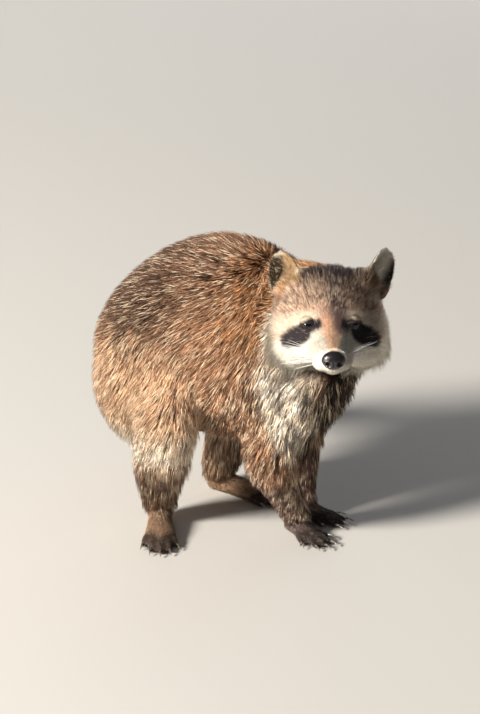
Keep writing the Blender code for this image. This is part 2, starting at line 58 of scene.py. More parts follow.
# The camera; its aim is given from the nose pad as right, up and back in the picture
VIEW_AZIMUTH = -60.0
VIEW_ELEVATION = 22.0
VIEW_DISTANCE = 2.8
PICTURE_HEIGHT = 0.7596          # metres of the scene that the picture's height spans
AIM = (-0.0913, 0.0030, -0.2322)

# The head and ears, as the solids have them
HEAD_TURN = -58.0
HEAD_NOD = -2.0
NOSE_MIDDLE = (-0.9, 0.0, 1.2)   # middle of the nose pad's box in the face's millimetres
EARS = {                         # place in millimetres, then turn, nod and tilt in degrees
    "right": ((-90.0, -40.0, 34.5), -28.0, 4.0, -22.0),
    "left": ((-90.0, 50.0, 40.0), 42.0, 4.0, 42.0),
}
EAR_HALF_WIDTH = 19.5
EAR_TOP = 42.0
EYE_RADIUS = 0.0075
EYE_PLACE = (-45.6, 22.2, 20.3)
NOSE_HALF_WIDTH = 12.0
NOSE_HALF_HEIGHT = 9.6
NOSE_RISE = 0.9                  # middle of the pad above the face's origin

# The skin's mesh
VOXEL = 0.0016
HIDING_DEPTH = 4.0               # millimetres of coat that hide the skin
HIDDEN_SHARE = 0.16              # of its triangles the skin keeps there
INFLATE = 0.0005                 # closes the cuts between the nodes before the skin is made
SHRINK_STEPS = 6
FLOOR_GAP = 0.0003               # nothing soft reaches nearer the floor
THIN_SHARE = 0.40                # the coat takes at most this share of a limb's thickness

TUFT_SHARE = 1.0


# ---------------- places


def middle(node):
    low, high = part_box(node)
    return (Vector(low) + Vector(high)) / 2


def rotation(degrees, axis):
    return Matrix.Rotation(math.radians(degrees), 4, axis)


def turned(turn, nod, tilt=0.0):
    return rotation(turn, "Z") @ rotation(-nod, "X") @ rotation(tilt, "Y")


def at(forward, left, up):
    """A place in millimetres as a vector in metres."""
    return Vector((left, -forward, up)) * 0.001


HEAD = Matrix.Translation(middle("nose")) @ turned(HEAD_TURN, HEAD_NOD)
HEAD = HEAD @ Matrix.Translation(-at(*NOSE_MIDDLE))
EAR_FRAMES = {
    side: HEAD @ Matrix.Translation(at(*place)) @ turned(*angles)
    for side, (place, *angles) in EARS.items()
}


def local(points, matrix=HEAD):
    """Points as forward, left and up of a frame, in millimetres."""
    inverse = np.array(matrix.inverted())
    inside = points @ inverse[:3, :3].T + inverse[:3, 3]
    return np.stack([-inside[:, 1], inside[:, 0], inside[:, 2]], axis=1) * 1000.0


def toward(forward, left, up, matrix=HEAD):
    """A direction given in the head's or an ear's own frame."""
    return np.array(matrix.to_3x3() @ Vector((left, -forward, up)))


def unit(vectors):
    length = np.linalg.norm(vectors, axis=-1, keepdims=True)
    return vectors / np.maximum(length, 1e-9)


def ease(value, low, high):
    """0 below low, 1 above high and a smooth step between; high may be under low."""
    t = np.clip((value - low) / (high - low), 0.0, 1.0)
    return t * t * (3.0 - 2.0 * t)


def laid_on(normals, flow):
    """Directions laid on a surface: the part that points out of it is taken away."""
    return unit(flow - normals * np.sum(flow * normals, axis=1)[:, None])


def mix(first, second, share):
    share = np.asarray(share)[..., None]
    return first * (1.0 - share) + np.asarray(second) * share


def chain_distance(points, chain):
    """Distance to a chain of balls joined by tapering rods; negative is inside."""
    best = np.full(len(points), 1e9)
    for start, end in zip(chain, chain[1:]):
        a, b = np.array(start[:3]), np.array(end[:3])
        along = b - a
        t = np.clip((points - a) @ along / (along @ along), 0.0, 1.0)
        radius = start[3] + (end[3] - start[3]) * t
        distance = np.linalg.norm(points - a - t[:, None] * along, axis=1) - radius
        best = np.minimum(best, distance)
    return best


def mirrored(face):
    """Face coordinates with both sides laid on the left one."""
    return face * [1, 0, 1] + np.abs(face) * [0, 1, 0]


# ---------------- the skin's surface


def read(collection, attribute, width, number=float):
    """One attribute of every element of a mesh, as rows of numbers."""
    values = np.empty(len(collection) * width, dtype=number)
    collection.foreach_get(attribute, values)
    return values.reshape(-1, width)


class Surface:
    """Vertices and triangles of the skin, and the node of flesh that each vertex lies on."""

    def __init__(self, mesh):
        mesh.calc_loop_triangles()
        self.points = read(mesh.vertices, "co", 3)
        self.triangles = read(mesh.loop_triangles, "vertices", 3, np.int32)
        self.first, self.second = read(mesh.edges, "vertices", 2, np.int32).T
        ends = np.concatenate([self.first, self.second])
        self.degree = np.bincount(ends, minlength=len(self.points))

    def find_nodes(self):
        tree, owners = solids_tree(FLESH)
        self.labels = np.array([owners[tree.find_nearest(point)[2]] for point in self.points])

    def where(self, name):
        return self.labels == FLESH.index(name)

    def on(self, *starts):
        """1 for the points on nodes whose names start so, otherwise 0."""
        return np.array([float(name.startswith(starts)) for name in FLESH])[self.labels]

    def near(self, rounds, *starts):
        """The same with a soft edge."""
        return self.blur(self.on(*starts), rounds)

    def search_tree(self):
        return BVHTree.FromPolygons(self.points.tolist(), self.triangles.tolist())

    def neighbour_mean(self, values):
        flat = values.reshape(len(values), -1)
        columns = []
        for column in flat.T:
            total = np.bincount(self.first, column[self.second], len(flat))
            total += np.bincount(self.second, column[self.first], len(flat))
            columns.append(total / np.maximum(self.degree, 1))
        return np.stack(columns, axis=1).reshape(values.shape)

    def blur(self, values, rounds):
        for _ in range(rounds):
            values = 0.5 * values + 0.5 * self.neighbour_mean(values)
        return values

    def smooth(self, rounds, share):
        """Evens the surface; share is one number or one for each point."""
        share = np.broadcast_to(share, len(self.points))[:, None]
        for _ in range(rounds):
            self.points += share * 0.5 * (self.neighbour_mean(self.points) - self.points)

    def normals(self):
        a, b, c = (self.points[self.triangles[:, i]] for i in range(3))
        faces = np.cross(b - a, c - a)
        total = np.zeros_like(self.points)
        for corner in self.triangles.T:
            for axis in range(3):
                total[:, axis] += np.bincount(corner, faces[:, axis], len(total))
        return unit(total)


def joined_solids(names, grow):
    """All the named solids as one mesh of loose bodies, each grown by a hair."""
    bm = bmesh.new()
    owners = []
    for number, name in enumerate(names):
        piece = bmesh.new()
        piece.from_mesh(NODES[name].data)
        bmesh.ops.remove_doubles(piece, verts=piece.verts, dist=0.00001)
        piece.normal_update()
        for vertex in piece.verts:
            vertex.co += vertex.normal * grow
        shape = bpy.data.meshes.new(name + "_copy")
        piece.to_mesh(shape)
        piece.free()
        bm.from_mesh(shape)
        owners += [number] * len(shape.polygons)
        bpy.data.meshes.remove(shape)
    return bm, np.array(owners)


def solids_tree(names):
    """The named solids as one search tree, and the number of the solid each face is from."""
    bm, owners = joined_solids(names, 0.0)
    tree = BVHTree.FromBMesh(bm)
    bm.free()
    return tree, owners


def places_tree(places):
    tree = KDTree(len(places))
    for number, place in enumerate(places):
        tree.insert(place, number)
    tree.balance()
    return tree


def add_object(name, data):
    thing = bpy.data.objects.new(name, data)
    bpy.context.scene.collection.objects.link(thing)
    return thing


def object_of(bm, name):
    mesh = bpy.data.meshes.new(name)
    bm.to_mesh(mesh)
    bm.free()
    return add_object(name, mesh)


def point_at(thing, place, ahead):
    """Puts a thing at a place with its own Z axis turned the way that ahead points."""
    thing.location = place
    thing.rotation_mode = "QUATERNION"
    thing.rotation_quaternion = Vector(ahead).to_track_quat("Z", "Y")


def apply_modifiers(thing):
    graph = bpy.context.evaluated_depsgraph_get()
    graph.update()
    mesh = bpy.data.meshes.new_from_object(thing.evaluated_get(graph))
    thing.modifiers.clear()
    thing.data = mesh


def refine(thing, center, radius, rounds):
    """Divides the faces within a radius, so that small features have points to use."""
    bm = bmesh.new()
    bm.from_mesh(thing.data)
    for level in range(rounds):
        reach = radius * (1.0 - 0.25 * level)
        near = [f for f in bm.faces if (f.calc_center_median() - center).length < reach]
        edges = {edge for face in near for edge in face.edges}
        bmesh.ops.subdivide_edges(bm, edges=list(edges), cuts=1, use_grid_fill=True)
    bmesh.ops.triangulate(bm, faces=[f for f in bm.faces if len(f.verts) > 4])
    bm.to_mesh(thing.data)
    bm.free()


def make_skin_mesh():
    """All flesh, with eyes and nose filled in, as one fine closed mesh."""
    names = FLESH + ["nose", "eye_left", "eye_right"]
    skin = object_of(joined_solids(names, INFLATE)[0], "skin")
    remesh = skin.modifiers.new("whole", "REMESH")
    remesh.mode = "VOXEL"
    remesh.voxel_size = VOXEL
    apply_modifiers(skin)
    for side in SIDES:
        refine(skin, middle(f"eye_{side}"), 0.014, 2)
    refine(skin, HEAD @ at(-8.0, 0.0, -6.0), 0.026, 1)
    return skin


# ---------------- styles of coat


# For each kind of place: depth of the coat, length and half width of its tufts, all in
# millimetres, tufts to the square centimetre, how far tufts gather into locks, the shares
# of pale and of dark tufts among them, and how far they hang free of the skin.
DEPTH, LENGTH, HALF_WIDTH, DENSITY, LOCKS, PALE, DARK, HANG = range(8)
STYLES = {
    "back": (13.0, 19.0, 0.43, 50, 0.10, 0.13, 0.38, 0.00),
    "haunch": (12.0, 24.0, 0.46, 44, 0.40, 0.30, 0.18, 0.06),
    "ruff": (16.0, 44.0, 0.46, 42, 0.82, 0.22, 0.10, 0.28),
    "arm": (11.0, 33.0, 0.44, 42, 0.78, 0.28, 0.38, 0.26),
    "shank": (7.0, 27.0, 0.40, 56, 0.74, 0.34, 0.40, 0.60),
    "forearm": (5.5, 20.0, 0.36, 58, 0.66, 0.26, 0.38, 0.40),
    "ankle": (3.0, 14.0, 0.32, 110, 0.45, 0.24, 0.34, 0.40),
    "foot": (1.5, 6.0, 0.27, 125, 0.20, 0.12, 0.34, 0.00),
    "tail": (13.0, 28.0, 0.54, 40, 0.25, 0.06, 0.10, 0.00),
    "muzzle": (1.2, 4.2, 0.21, 380, 0.10, 0.00, 0.02, 0.00),
    "ear": (0.6, 4.2, 0.22, 260, 0.15, 0.10, 0.14, 0.00),
}
STYLES = {name: np.array(style) for name, style in STYLES.items()}
# How the names of the nodes start, and the style and colour of the hair there; the head's
# style is replaced by head_style
KINDS = (
    ("ear", "ear", "ear_back"), ("muzzle", "muzzle", "white"), ("lower_jaw", "muzzle", "white"),
    ("head", "muzzle", "forehead"), ("neck", "back", "neck"), ("chest", "back", "flank"),
    ("belly", "back", "flank"), ("rump", "back", "flank"), ("tail", "tail", "tail_light"),
    ("thigh", "haunch", "haunch"), ("shank", "shank", "hind_leg"),
    ("hind_foot", "foot", "hind_foot"), ("upper_arm", "arm", "arm"),
    ("forearm", "forearm", "leg"), ("fore_paw", "foot", "paw"),
)

# Groups of nodes, by how their names start
FACE = ("head", "muzzle", "lower_jaw")
TRUNK = ("chest", "neck", "belly", "rump")
FEET = ("hind_foot", "fore_paw")

# Colours of hair, as linear reflectance
HAIR = {
    "back": (0.25, 0.138, 0.084),
    # dark band along the upper back: partly the coat's darker back, partly painted shade
    "back_band_and_shade": (0.08, 0.042, 0.028),
    "flank": (0.47, 0.265, 0.155),
    "haunch": (0.64, 0.4, 0.25),
    "neck": (0.43, 0.205, 0.085),
    "cream": (0.97, 0.86, 0.73),
    "cheek": (0.97, 0.87, 0.72),
    "jaw": (0.8, 0.65, 0.49),
    "brow": (0.74, 0.62, 0.49),
    "white": (0.86, 0.79, 0.68),
    # blackish breast: partly the coat's dark chest, partly painted shade under the head
    "breast": (0.018, 0.012, 0.011),
    "arm": (0.38, 0.22, 0.135),
    "leg": (0.24, 0.150, 0.120),
    "hind_leg": (0.28, 0.165, 0.11),
    "paw": (0.20, 0.145, 0.130),
    "hind_foot": (0.36, 0.23, 0.150),
    "toes": (0.04, 0.031, 0.029),
    "forehead": (0.64, 0.41, 0.31),
    "crown": (0.03, 0.02, 0.023),
    "mask": (0.04, 0.033, 0.036),
    "stripe": (0.155, 0.105, 0.11),
    "tan": (0.92, 0.58, 0.38),
    "ear_back": (0.13, 0.08, 0.055),
    # near-black front of the ear: its dark skin, with painted shade in the hollow
    "ear_hollow": (0.03, 0.018, 0.009),
    "ear_fur": (0.36, 0.23, 0.12),
    "ear_base": (0.34, 0.17, 0.045),
    "ear_rim": (0.80, 0.70, 0.55),
    "tail_light": (0.58, 0.40, 0.25),
    "tail_dark": (0.045, 0.032, 0.026),
    "skin": (0.020, 0.016, 0.016),
}
HAIR = {name: np.array(colour) for name, colour in HAIR.items()}
PALE_HAIR = (0.94, 0.77, 0.57)
DARK_HAIR = (0.035, 0.024, 0.020)


def kind(name):
    """The style and the colour of the hair on a node."""
    return next((STYLES[style], HAIR[hair]) for start, style, hair in KINDS
                if name.startswith(start))


# ---------------- lie of the coat


BACKWARD = np.array([0.0, 1.0, 0.0])
DOWNWARD = np.array([0.0, 0.0, -1.0])
BREAST_FRONT = unit(np.array([-0.5, -0.8, -0.4]))


def tail_line():
    """Places along the middle of the tail, from its root to its tip."""
    parts = [read(NODES[f"tail_{number}"].data.vertices, "co", 3) for number in range(1, 5)]
    places = [part.mean(axis=0) for part in parts]
    ahead = unit(places[3] - places[2])
    tip = places[3] + ahead * ((parts[3] - places[3]) @ ahead).max()
    root = 2 * places[0] - places[1]
    return np.array([root, *places, tip])


TAIL_LINE = tail_line()


def along_tail(points):
    """How far along the tail each point lies, from 0 to 1, and which way the tail runs."""
    lengths = np.linalg.norm(np.diff(TAIL_LINE, axis=0), axis=1)
    starts = np.concatenate([[0.0], np.cumsum(lengths)])
    best = np.full(len(points), 1e9)
    share = np.zeros(len(points))
    way = np.zeros((len(points), 3))
    for i, (a, b) in enumerate(zip(TAIL_LINE, TAIL_LINE[1:])):
        t = np.clip((points - a) @ (b - a) / lengths[i] ** 2, 0.0, 1.0)
        distance = np.linalg.norm(points - a - t[:, None] * (b - a), axis=1)
        nearer = distance < best
        best = np.where(nearer, distance, best)
        share = np.where(nearer, (starts[i] + t * lengths[i]) / starts[-1], share)
        way[nearer] = (b - a) / lengths[i]
    return share, way


def toe_direction(foot):
    """The way a foot's toes point, from its claws."""
    pair = "hind" if foot.startswith("hind") else "fore"
    side = foot.rsplit("_", 1)[1]
    claws = np.mean([middle(f"claw_{pair}_{side}_{n}") for n in range(1, 6)], axis=0)
    way = claws - np.array(middle(foot))
    way[2] = 0.0
    return unit(way)


def lie_on_head(points):
    """Hair runs back from the nose, down the cheeks and under the chin."""
    face = local(points)
    left, up = face[:, 1], face[:, 2]
    flow = unit(face - [6.0, 0.0, -4.0])
    cheek = ease(np.abs(left), 25.0, 45.0) * ease(up, 18.0, -6.0)
    flow[:, 2] -= 0.75 * cheek
    flow[:, 1] += 0.45 * cheek * np.sign(left)
    flow[:, 2] -= 1.2 * ease(up, -8.0, -26.0)
    return flow @ np.stack([toward(*axis) for axis in np.eye(3)])


def lie_on_ear(points, side):
    """Hair runs up the ear, and outward in its hollow."""
    up = toward(0, 0, 1, EAR_FRAMES[side])
    outside = toward(0, SIDES[side], 0, EAR_FRAMES[side])
    return up + 0.6 * outside * ear_front(points, side)[2][:, None]


def lie_of_coat(skin, normals):
    """The way hair points at each place, before it is laid on the skin."""
    steep = 1.0 - np.abs(normals[:, 2])
    flow = BACKWARD + DOWNWARD * (0.25 + 0.9 * steep[:, None])
    for name in FLESH:
        here = skin.where(name)
        points = skin.points[here]
        if name.startswith(FACE):
            flow[here] = lie_on_head(points)
        elif name.startswith("neck"):
            flow[here] = unit(toward(-1, 0, 0) + 0.9 * DOWNWARD + 0.3 * BACKWARD)
        elif name.startswith("chest"):
            front = ease(-normals[here, 1], 0.1, 0.7)
            flow[here] = mix(flow[here], 1.6 * DOWNWARD, front)
        elif name.startswith("ear"):
            flow[here] = lie_on_ear(points, name[4:])
        elif name.startswith("tail"):
            flow[here] = along_tail(points)[1]
        elif name.startswith(FEET):
            flow[here] = toe_direction(name) + 0.6 * DOWNWARD
        elif name.startswith(("shank", "forearm")):
            flow[here] = 1.5 * DOWNWARD + 0.25 * BACKWARD
        elif name.startswith(("thigh", "upper_arm")):
            flow[here] = 1.3 * DOWNWARD + 0.55 * BACKWARD
    return unit(flow)


def head_style(face):
    """The style of the coat on the head: short by eyes and muzzle, long on the cheeks."""
    flat = mirrored(face)
    forward, left, up = flat.T
    far_back = ease(forward, -46.0, -95.0)
    cheek = ease(left, 34.0, 54.0) * ease(up, 24.0, 0.0)
    cheek *= ease(forward, -40.0, -60.0)
    beard = ease(up, -8.0, -26.0) * ease(forward, -42.0, -62.0)
    long = np.maximum(cheek, beard)
    by_eye = ease(np.linalg.norm(flat - EYE_PLACE, axis=1), 20.0, 9.0)
    depth = 2.4 + 5.0 * far_back + 6.5 * long - 1.2 * by_eye
    length = 6.5 + 7.0 * far_back + 20.0 * long + 9.0 * beard - 3.6 * by_eye
    width = 0.25 + 0.12 * far_back + 0.12 * long - 0.04 * by_eye
    density = 270.0 - 90.0 * far_back - 90.0 * long + 60.0 * by_eye
    grizzle = ease(forward, -40.0, -50.0) * ease(up, 20.0, 28.0)
    grizzle *= ease(brow_distance(flat), -2.0, 3.0)
    grizzle *= 0.35 + 0.65 * ease(chain_distance(flat, EAR_ROOT), -3.0, 3.0)
    locks = 0.10 + 0.15 * far_back + 0.45 * long + 0.50 * grizzle
    pale = 0.02 + 0.40 * grizzle * (1.0 - 0.8 * crown_share(flat)) + 0.10 * long
    dark = 0.02 + 0.44 * grizzle + 0.08 * long + 0.10 * beard
    hang = 0.52 * long
    return np.stack([depth, length, width, density, locks, pale, dark, hang], axis=1)


def breast_share(skin):
    """1 on the throat and breast, where the hair is longest, fading over the shoulders."""
    front = np.clip(skin.normals() @ BREAST_FRONT, 0.0, 1.0)
    low = ease(skin.points[:, 2], 0.27, 0.20)
    forward = ease(skin.points[:, 1], middle("upper_arm_right")[1], -0.080)
    return ease(front * low * forward, 0.12, 0.55)


def toe_share(points):
    """1 on the toes, beside the claws, and 0 from the middle of the foot."""
    tree = places_tree([middle(name) for name in NODES if name.startswith("claw")])
    low = points[:, 2] < 0.05
    distance = np.full(len(points), 1.0)
    distance[low] = [tree.find(point)[2] for point in points[low]]
    return ease(distance, 0.030, 0.017)


def ear_front(points, side):
    """Where on an ear each point lies: outward, up, and 1 on the side that opens forward."""
    forward, left, up = local(points, EAR_FRAMES[side]).T
    outward = left * SIDES[side]
    hollow = 12.0 * (1 - (outward / EAR_HALF_WIDTH) ** 2) * (1 - 0.55 * up / EAR_TOP)
    front = ease(forward + hollow + 6.0 * (up / EAR_TOP) ** 2, -3.4, -1.2)
    return outward, up, front


def by_ears(points):
    """1 close behind and below the ears, where the hair is short."""
    roots = [np.array(EAR_FRAMES[side].translation) for side in SIDES]
    distance = np.min([np.linalg.norm(points - root, axis=1) for root in roots], axis=0)
    return ease(distance, 0.058, 0.030)


def make_styles(skin, face):
    """One row of style for each point, blended across the borders of the nodes."""
    rows = np.array([kind(name)[0] for name in FLESH])[skin.labels]
    on_head = skin.where("head")
    rows[on_head] = head_style(face[on_head])
    breast = np.where(skin.on("chest", "neck"), breast_share(skin), 0.0)
    rows = mix(rows, STYLES["ruff"], breast)
    for side in SIDES:
        here = skin.where(f"ear_{side}")
        outward, _, front = ear_front(skin.points[here], side)
        rows[here, LENGTH] += 6.0 * ease(outward, 0.0, -12.0) * front
    height = skin.points[:, 2]
    low = ease(height, 0.19, 0.12) * skin.on(*TRUNK) * (1.0 - breast)
    rows = mix(rows, STYLES["haunch"], 0.8 * low)
    rows = mix(rows, STYLES["ankle"], skin.on(*FEET) * ease(height, 0.014, 0.026))
    by_ear = by_ears(skin.points) * skin.on("neck", "chest")
    rows[:, DEPTH] *= 1.0 - 0.30 * by_ear
    rows[:, LENGTH] *= 1.0 - 0.55 * by_ear
    rows = skin.blur(rows, int(0.010 / VOXEL) * 3)
    toes = toe_share(skin.points)
    rows[:, LENGTH] *= 1.0 - 0.45 * toes
    rows[:, HALF_WIDTH] *= 1.0 - 0.25 * toes
    return rows


# ---------------- markings


# The cream apron, in metres from the middle of the right upper arm
APRON = [(0.039, -0.008, 0.094, 0.029), (0.028, -0.006, 0.065, 0.025),
         (0.027, 0.002, 0.025, 0.020), (0.031, 0.010, -0.020, 0.013)]

# Chains of balls in the face's millimetres: forward, left, up and radius
BROW = [(-42, 14, 31, 5.0), (-46, 27, 27, 6.5), (-53, 41, 18, 7.5), (-60, 55, 9, 10.0),
        (-66, 62, -4, 11.0)]
TEMPLE = [(-60, 58, 10, 9.5), (-84, 58, 24, 6.0)]
MASK = [(-38, 12, 25, 2.4), (-36, 12, 20, 3.4), (-39, 19, 19, 8.0), (-40, 25, 13.5, 10.3),
        (-42, 32, 8.0, 9.9), (-43, 40, 4.5, 6.9)]
EAR_ROOT = [(-76, 50, 36, 7.5), (-80, 42, 45, 7.0)]
# The dark forehead stripe, set left of the midline: the marking itself and painted shade on the
# left half of the forehead
STRIPE = [(-100, 2, 62, 12.0), (-68, 5, 52, 9.0), (-53, 6, 42, 9.5), (-40, 8, 29, 9.5),
          (-31, 9, 20, 7.5)]
BRIDGE = [(-36, -1, 25, 7.0), (-26, 1, 17, 10.0), (-9, 0, 11, 6.5)]


def brow_distance(flat):
    """Distance outside the pale band over the eye and down the cheek, in millimetres."""
    return np.minimum(chain_distance(flat, BROW), chain_distance(flat, TEMPLE))


def crown_share(flat):
    """1 on top of the head, between the ears."""
    return ease(flat[:, 0], -66.0, -86.0) * ease(flat[:, 2], 36.0, 52.0)


def paint(colours, *layers):
    """Lays colours of hair one after the other over those below, each with its share."""
    for hair, share in layers:
        colours = mix(colours, HAIR[hair], share)
    return colours


def face_colours(face, below):
    """Paints the raccoon's mask over the colours that lie below it."""
    flat = mirrored(face)
    forward, _, up = flat.T
    return paint(
        below,
        ("forehead", ease(forward, -108.0, -92.0)),
        ("crown", 0.85 * crown_share(flat)),
        ("ear_base", 0.7 * ease(chain_distance(flat, EAR_ROOT), 3.0, -3.0)),
        ("cheek", ease(up, 12.0, -2.0) * ease(forward, -108.0, -88.0)),
        ("jaw", 0.8 * ease(up, -22.0, -38.0) * ease(forward, -40.0, -58.0)),
        ("brow", ease(brow_distance(flat), 3.2, -3.2)),
        ("white", ease(forward, -50.0, -42.0) * ease(up, 24.0, 14.0)),
        ("tan", 0.85 * ease(chain_distance(face, BRIDGE), 1.5, -4.0)),
        # stripe painted unmirrored, left of the midline: marking plus painted shade
        ("stripe", 0.85 * ease(chain_distance(face, STRIPE), 4.0, -6.0)),
        ("mask", ease(chain_distance(flat, MASK), 1.0, -1.0)),
    )


def ear_colours(points, side):
    """Dark back, a near-black hollow that is partly painted shade, lighter fur along the inner
    edge, a pale rim and a tawny base; the left ear's inner fur is paler and wider, painted
    light.
    """
    outward, up, front = ear_front(points, side)
    # The left ear's inner fur is paler and reaches wider than the right's: painted light
    hair, reach = ("ear_fur", 3.0) if side == "right" else ("cheek", 13.0)
    edge = np.maximum(np.abs(outward) / EAR_HALF_WIDTH, (up + 3.0) / (EAR_TOP + 3.0))
    return paint(
        HAIR["ear_back"],
        # Near-black ear front: dark skin plus painted shade in the hollow
        ("ear_hollow", front),
        (hair, ease(outward, reach, reach - 10.0) * front),
        ("ear_rim", 0.9 * ease(edge, 0.87, 0.96)),
        ("ear_base", 0.9 * ease(up + 0.35 * outward, 14.0, 2.0) * front),
    )


def tail_colours(points):
    """Five dark rings on light fur, and a dark tip."""
    share = along_tail(points)[0]
    ring = ease(np.sin(share * math.tau * 5.6 - 1.2), -0.15, 0.35)
    ring = np.maximum(ring, ease(share, 0.90, 0.94))
    return paint(HAIR["tail_light"], ("tail_dark", ring))


def coat_colours(skin):
    """The colour of the coat at each point of the skin, with its markings and some painted
    light and shade.
    """
    back, height = skin.points[:, 1], skin.points[:, 2]
    normals = skin.normals()
    table = np.array([kind(name)[1] for name in FLESH])
    colours = skin.blur(table[skin.labels], int(0.012 / VOXEL) * 6)
    body = skin.near(60, *TRUNK)
    top = ease(skin.blur(normals, 20)[:, 2], 0.10, 0.85)
    high = ease(height, 0.19, 0.25)
    # Darker band high on the back: partly the coat's own darker back, partly painted shade
    # along the top edge
    back_band_and_shade = ease(back, -0.005, 0.070) * skin.near(40, "chest", "belly", "rump", "thigh")
    mantle = ease(back, 0.010, -0.040) * skin.near(40, "chest", "neck")
    pale_thigh = skin.blur(ease(height, 0.150, 0.110) * skin.on("thigh"), 20)
    colours = paint(
        colours,
        ("back", top * body),
        ("back_band_and_shade", 0.85 * high * back_band_and_shade),
        ("neck", 0.8 * high * mantle),
        ("flank", ease(height, 0.105, 0.150) * skin.on("upper_arm")),
        ("cream", 0.65 * pale_thigh),
        # Lighter low on the trunk and where the coat faces down: partly the paler lower coat,
        # partly painted light under the body
        ("haunch", 0.6 * ease(height, 0.190, 0.130) * body * (1.0 - top)),
        ("haunch", 0.6 * ease(normals[:, 2], -0.3, -0.9) * body),
    )
    colours = paint(
        breast_colours(skin, colours),
        # Left hind foot and shank lightened: painted light on the far hind leg, which lies in
        # the body's shade
        ("haunch", 0.5 * skin.near(20, "hind_foot_left", "shank_left")),
        ("toes", 0.9 * toe_share(skin.points) * skin.on(*FEET)),
    )
    on_head = skin.near(8, *FACE)
    near = on_head > 0.02
    painted = face_colours(local(skin.points[near]), colours[near])
    colours[near] = mix(colours[near], painted, ease(on_head[near], 0.25, 0.75))
    for name in FLESH:
        here = skin.where(name)
        if name.startswith("ear"):
            colours[here] = ear_colours(skin.points[here], name[4:])
        elif name.startswith("tail"):
            colours[here] = tail_colours(skin.points[here])
    return colours


def breast_colours(skin, below):
    """A cream apron below the right cheek, and blackish brown between the fore legs and on the
    left of the throat: partly the coat's dark chest, partly painted shade under the head.
    """
    front = skin.near(30, "chest", "neck")
    forward, left, up = local(skin.points).T
    # Throat blackish on the left and cream on the right: the dark on the left is partly painted
    # shade under the head
    throat = ease(forward, -118.0, -98.0) * ease(up, -20.0, -34.0)
    near = ease(left, 4.0, -14.0)
    breast = np.maximum(breast_share(skin), throat * (1.0 - near))
    apron = chain_distance(skin.points, [apron_place(*place) for place in APRON])
    apron = ease(apron, 0.010, -0.006) * skin.near(30, "chest", "neck", "upper_arm")
    return paint(
        below,
        ("cream", 0.6 * throat * near * front),
        ("breast", 0.95 * breast * front),
        ("cream", 0.95 * apron),
    )


def apron_place(forward, left, up, radius):
    place = np.array(middle("upper_arm_right")) + [left, -forward, up]
    return (*place, radius)


# ---------------- lids, lips and nose


def gaze(side):
    """The way an eye looks, the way from its inner to its outer corner, and its up."""
    sign = SIDES[side]
    ahead = unit(toward(0.95, 0.20 * sign, 0.14))
    outer = unit(toward(-0.20, 0.95 * sign, -0.16))
    outer = unit(outer - ahead * (outer @ ahead))
    up = np.cross(outer, ahead)
    return ahead, outer, up * np.sign(up[2])


LID_HALF_WIDTH = 0.0060
UPPER_LID = 0.0017
LOWER_LID = 0.0017


def opening_distance(across, height):
    """Distance outside the almond between the lids; negative is inside."""
    share = np.clip(1.0 - (across / LID_HALF_WIDTH) ** 2, 0.0, 1.0)
    lids = np.maximum(height - UPPER_LID * share, -LOWER_LID * share - height)
    return np.maximum(lids, np.abs(across) - LID_HALF_WIDTH)


def shape_lids(points):
    """Draws the skin over each eyeball and leaves the almond open."""
    rims = []
    for side in SIDES:
        center = np.array(middle(f"eye_{side}"))
        ahead, outer, up = gaze(side)
        offset = points - center
        across, height, depth = offset @ outer, offset @ up, offset @ ahead
        radius = np.hypot(across, height)
        near = (radius < 0.013) & (depth > -0.002)
        outside = opening_distance(across, height)
        lid = EYE_RADIUS + 0.0002 + 0.0007 * ease(outside, 0.0, 0.0012)
        lid += 0.0003 * ease(height, 0.0024, 0.0060)
        lid -= 0.0005 * np.exp(-(((height - UPPER_LID - 0.0020) / 0.0006) ** 2))
        target = np.where(outside < 0.0, EYE_RADIUS - 0.0012, lid)
        placed = center + unit(offset) * target[:, None]
        points = mix(points, placed, ease(radius, 0.0125, 0.0070) * near)
        rims.append(np.where(near, outside, 1.0))
    return points, np.minimum(*rims)


MOUTH = [(1.0, 0.0, -9.0, 0.0), (0.0, 0.0, -13.0, 0.0), (-7.0, 7.0, -14.0, 0.0),
         (-20.0, 14.5, -13.5, 0.0), (-32.0, 20.0, -10.5, 0.0), (-40.0, 25.0, -6.0, 0.0)]


def shape_nose_seat(points):
    """Draws the skin back behind the bare pad of the nose."""
    face = local(points)
    wide, tall = face[:, 1] / NOSE_HALF_WIDTH, (face[:, 2] - NOSE_RISE) / NOSE_HALF_HEIGHT
    inside = ease(np.hypot(wide, tall), 1.00, 0.72) * (face[:, 0] > -9.0)
    back = toward(-1, 0, 0) * 0.0040
    return points + back * inside[:, None], inside


def shape_mouth(points, normals):
    """A groove between the lips, with the chin drawn in under it."""
    flat = mirrored(local(points))
    distance = chain_distance(flat, MOUTH)
    groove = np.exp(-((distance / 1.1) ** 2))
    under = ease(flat[:, 2], -13.0, -17.0) * ease(flat[:, 0], -34.0, -22.0)
    points = points - normals * (0.0013 * groove + 0.0010 * under)[:, None]
    return points, groove


# ---------------- materials


def feed(tree, node, **inputs):
    """Gives inputs of a node a value or a link; an underscore stands for a space."""
    for name, value in inputs.items():
        socket = node.inputs[name.replace("_", " ")]
        if isinstance(value, bpy.types.NodeSocket):
            tree.links.new(value, socket)
        else:
            socket.default_value = value


def add_node(tree, sort, operation=None, **inputs):
    node = tree.nodes.new("ShaderNode" + sort)
    if operation:
        node.operation = operation
    feed(tree, node, **inputs)
    return node


def new_material(name, **inputs):
    material = bpy.data.materials.new(name)
    material.use_nodes = True
    tree = material.node_tree
    shader = tree.nodes["Principled BSDF"]
    feed(tree, shader, **inputs)
    return material, tree, shader


